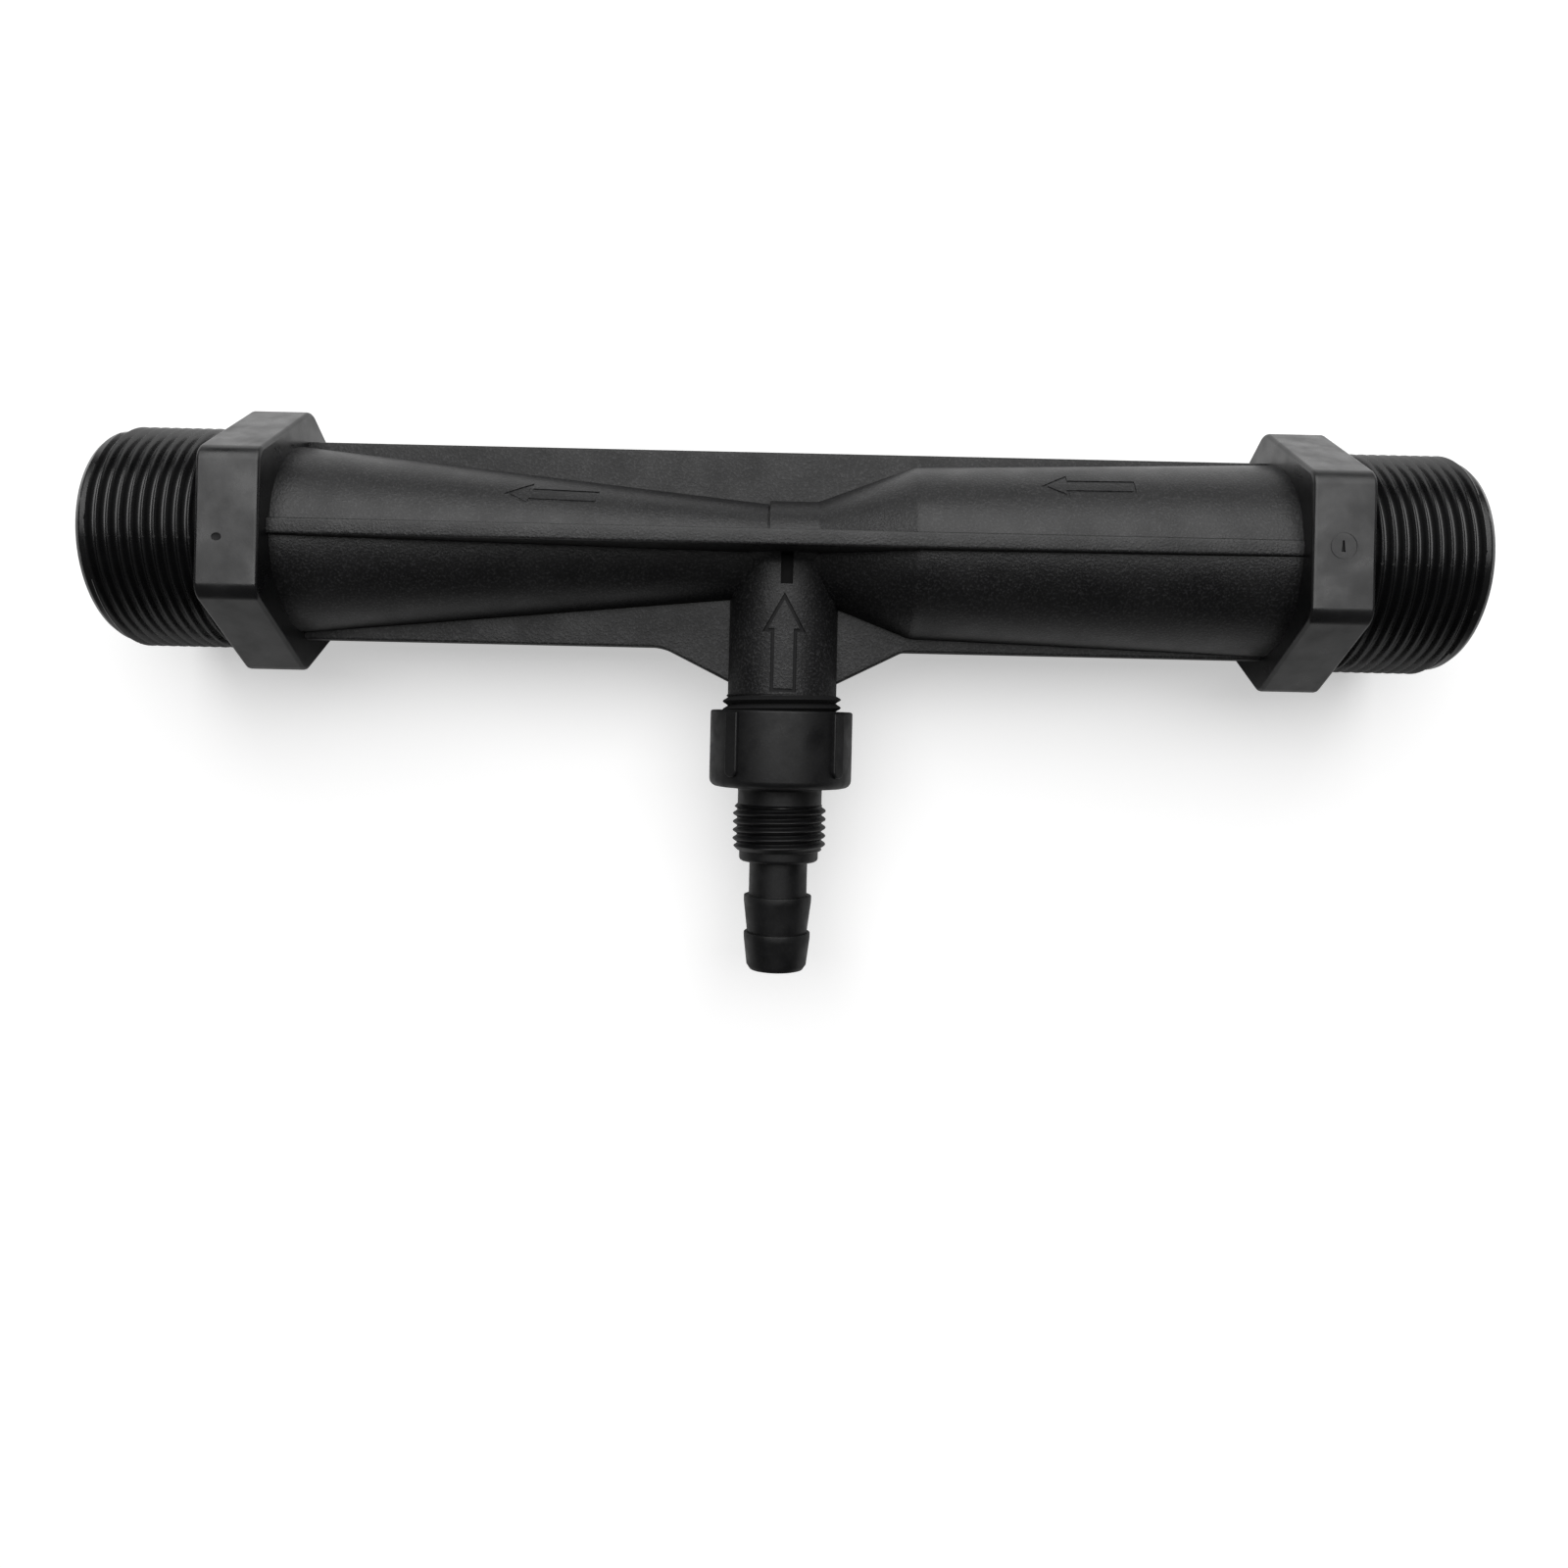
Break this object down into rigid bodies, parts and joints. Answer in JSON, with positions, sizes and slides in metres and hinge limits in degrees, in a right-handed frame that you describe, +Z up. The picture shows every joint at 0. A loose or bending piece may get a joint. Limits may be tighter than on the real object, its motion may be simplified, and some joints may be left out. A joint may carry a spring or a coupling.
{
  "type": "venturi fertilizer injector",
  "caption": "In-line venturi injector with threaded pipe ends, hexagons, webbed cones, and a side suction port with a screw cap, check ball and barbed hose tail.",
  "frame": {"origin": "on the ground under the middle of the whole part, which lies on the back flats of its two hexagons", "axes": "+X along the tube from the outlet to the inlet, -Y along the suction port towards the hose tail, +Z up"},
  "size_m": [0.285, 0.1197, 0.05],
  "materials": {
    "body_plastic": "black moulded polypropylene, fine spark-eroded grain on the tube and webs, satin on the hexagons",
    "cap_plastic": "black moulded polypropylene, smooth satin",
    "seal_rubber": "dull black moulded rubber",
    "ball_plastic": "ground and polished ivory acetal",
    "spring_steel": "drawn stainless steel wire"
  },
  "bodies": {
    "injector": {"injector_body": "body_plastic", "suction_cap": "cap_plastic", "seal_washer": "seal_rubber", "check_spring": "spring_steel"},
    "valve_ball": {"check_ball": "ball_plastic"}
  },
  "joints": [
    {"name": "check_ball_lift", "type": "slide", "parent": "injector", "child": "valve_ball", "axis": [0, 1, 0], "range_m": [0, 0.004], "stiffness_N_per_m": 60, "springref_m": -0.003, "deforming": ["check_spring"]}
  ]
}
